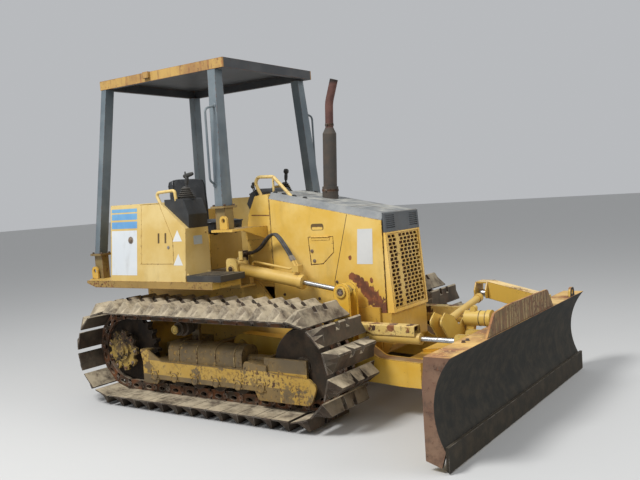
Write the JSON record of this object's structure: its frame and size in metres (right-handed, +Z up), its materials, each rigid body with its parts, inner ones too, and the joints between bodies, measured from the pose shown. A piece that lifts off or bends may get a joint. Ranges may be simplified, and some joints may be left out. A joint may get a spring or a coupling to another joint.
{
  "type": "bulldozer",
  "caption": "Small swamp bulldozer with wide ridged tracks, angling and tilting blade, sloped hood, upright exhaust and an open seat under a flat post canopy.",
  "frame": {"origin": "on the ground under the middle of the outline box", "axes": "+X forward to the blade, +Y to the machine's left, +Z up"},
  "size_m": [3.746, 2.676, 2.752],
  "materials": {
    "black_metal": "satin",
    "black_plastic": "matte",
    "chrome": "polished",
    "hood_grey": "worn satin",
    "iron": "matte",
    "muffler": "burnt and rusty",
    "post_blue": "worn satin",
    "roof_grey": "worn satin",
    "seat_cloth": "matte",
    "track_steel": "worn, dusty",
    "worn_edge": "worn and rusty",
    "yellow": "worn gloss"
  },
  "bodies": {
    "machine": {"main_frame": "yellow", "rear_beam": "yellow", "front_bulkhead": "yellow", "lift_brackets": "yellow", "drawbar": "yellow", "hood_sides": "yellow", "hood_top": "hood_grey", "grille_mask": "yellow", "grille_plate": "yellow", "mask_cap": "hood_grey", "engine_block": "iron", "radiator": "black_metal", "dash_cowl": "yellow", "dash_panel": "black_plastic", "exhaust": "muffler", "fenders": "yellow", "tank_right": "yellow", "tank_left": "yellow", "floor_plate": "black_metal", "side_steps": "black_plastic", "seat_base": "black_metal", "seat_cushion": "seat_cloth", "seat_back": "seat_cloth", "consoles": "black_plastic", "control_levers": "black_plastic", "rear_panel": "yellow", "handrails": "yellow", "canopy_roof": "roof_grey", "canopy_posts": "post_blue", "post_feet": "yellow", "track_frames": "yellow", "rollers": "yellow", "sprockets": "yellow", "track_right": "track_steel", "track_left": "track_steel"},
    "push_frame": {"push_frame": "yellow"},
    "yoke": {"blade_yoke": "yellow"},
    "blade": {"mouldboard": "yellow", "blade_brackets": "yellow", "cutting_edge": "worn_edge"},
    "tilt_barrel": {"tilt_barrel": "yellow"},
    "tilt_rod": {"tilt_rod": "chrome"},
    "hatch": {"hood_hatch": "yellow"},
    "door": {"tank_door": "yellow"},
    "lift_barrel_right": {"lift_barrel_right": "yellow"},
    "lift_rod_right": {"lift_rod_right": "chrome"},
    "angle_barrel_right": {"angle_barrel_right": "yellow", "angle_guard_right": "yellow"},
    "angle_rod_right": {"angle_rod_right": "chrome"},
    "lift_barrel_left": {"lift_barrel_left": "yellow"},
    "lift_rod_left": {"lift_rod_left": "chrome"},
    "angle_barrel_left": {"angle_barrel_left": "yellow", "angle_guard_left": "yellow"},
    "angle_rod_left": {"angle_rod_left": "chrome"}
  },
  "joints": [
    {"name": "blade_lift", "type": "hinge", "parent": "machine", "child": "push_frame", "pos_m": [-0.363, 0, 0.45], "axis": [0, -1, 0], "range_deg": [-8, 20]},
    {"name": "lift_barrel_turn_right", "type": "hinge", "parent": "machine", "child": "lift_barrel_right", "pos_m": [-0.418, -0.436, 1.07], "axis": [0, -1, 0], "range_deg": [-7.68, 18.65]},
    {"name": "lift_rod_slide_right", "type": "slide", "parent": "lift_barrel_right", "child": "lift_rod_right", "axis": [0.987, 0, -0.1606], "range_m": [-0.2186, 0.09]},
    {"name": "lift_barrel_turn_left", "type": "hinge", "parent": "machine", "child": "lift_barrel_left", "pos_m": [-0.418, 0.436, 1.07], "axis": [0, -1, 0], "range_deg": [-7.68, 18.65]},
    {"name": "lift_rod_slide_left", "type": "slide", "parent": "lift_barrel_left", "child": "lift_rod_left", "axis": [0.987, 0, -0.1606], "range_m": [-0.2186, 0.09]},
    {"name": "blade_angle", "type": "hinge", "parent": "push_frame", "child": "yoke", "pos_m": [1.287, 0, 0.322], "axis": [0, 0, 1], "range_deg": [-25, 25]},
    {"name": "angle_barrel_turn_right", "type": "hinge", "parent": "push_frame", "child": "angle_barrel_right", "pos_m": [0.767, -0.434, 0.572], "axis": [0, 0, 1], "range_deg": [-8.84, 8.84]},
    {"name": "angle_rod_slide_right", "type": "slide", "parent": "angle_barrel_right", "child": "angle_rod_right", "axis": [1, 0, 0], "range_m": [-0.192, 0.192]},
    {"name": "angle_barrel_turn_left", "type": "hinge", "parent": "push_frame", "child": "angle_barrel_left", "pos_m": [0.767, 0.434, 0.572], "axis": [0, 0, 1], "range_deg": [-8.84, 8.84]},
    {"name": "angle_rod_slide_left", "type": "slide", "parent": "angle_barrel_left", "child": "angle_rod_left", "axis": [1, 0, 0], "range_m": [-0.192, 0.192]},
    {"name": "blade_tilt", "type": "hinge", "parent": "yoke", "child": "blade", "pos_m": [1.557, 0, 0.33], "axis": [1, 0, 0], "range_deg": [-6, 6]},
    {"name": "tilt_barrel_turn", "type": "hinge", "parent": "yoke", "child": "tilt_barrel", "pos_m": [1.337, -0.25, 0.66], "axis": [1, 0, 0], "range_deg": [-4.49, 4.49]},
    {"name": "tilt_rod_slide", "type": "slide", "parent": "tilt_barrel", "child": "tilt_rod", "axis": [0, 0.9903, 0.1386], "range_m": [-0.0386, 0.0386]},
    {"name": "hood_hatch_hinge", "type": "hinge", "parent": "machine", "child": "hatch", "pos_m": [0.327, -0.2913, 1.3], "axis": [-1, 0, 0], "range_deg": [0, 100]},
    {"name": "tank_door_hinge", "type": "hinge", "parent": "machine", "child": "door", "pos_m": [-1.098, -0.82452, 1.395], "axis": [0, 0.0965, 0.9953], "range_deg": [-100, 0]}
  ],
  "couplings": [
    {"joint": "lift_barrel_turn_right", "follows": "blade_lift", "ratio": 0.91421},
    {"joint": "lift_rod_slide_right", "follows": "blade_lift", "m_per_rad": -0.61391},
    {"joint": "lift_barrel_turn_left", "follows": "blade_lift", "ratio": 0.91421},
    {"joint": "lift_rod_slide_left", "follows": "blade_lift", "m_per_rad": -0.61391},
    {"joint": "angle_barrel_turn_right", "follows": "blade_angle", "ratio": 0.34657},
    {"joint": "angle_rod_slide_right", "follows": "blade_angle", "m_per_rad": 0.43132},
    {"joint": "angle_barrel_turn_left", "follows": "blade_angle", "ratio": 0.34657},
    {"joint": "angle_rod_slide_left", "follows": "blade_angle", "m_per_rad": -0.43132},
    {"joint": "tilt_barrel_turn", "follows": "blade_tilt", "ratio": 0.73395},
    {"joint": "tilt_rod_slide", "follows": "blade_tilt", "m_per_rad": -0.36131}
  ]
}
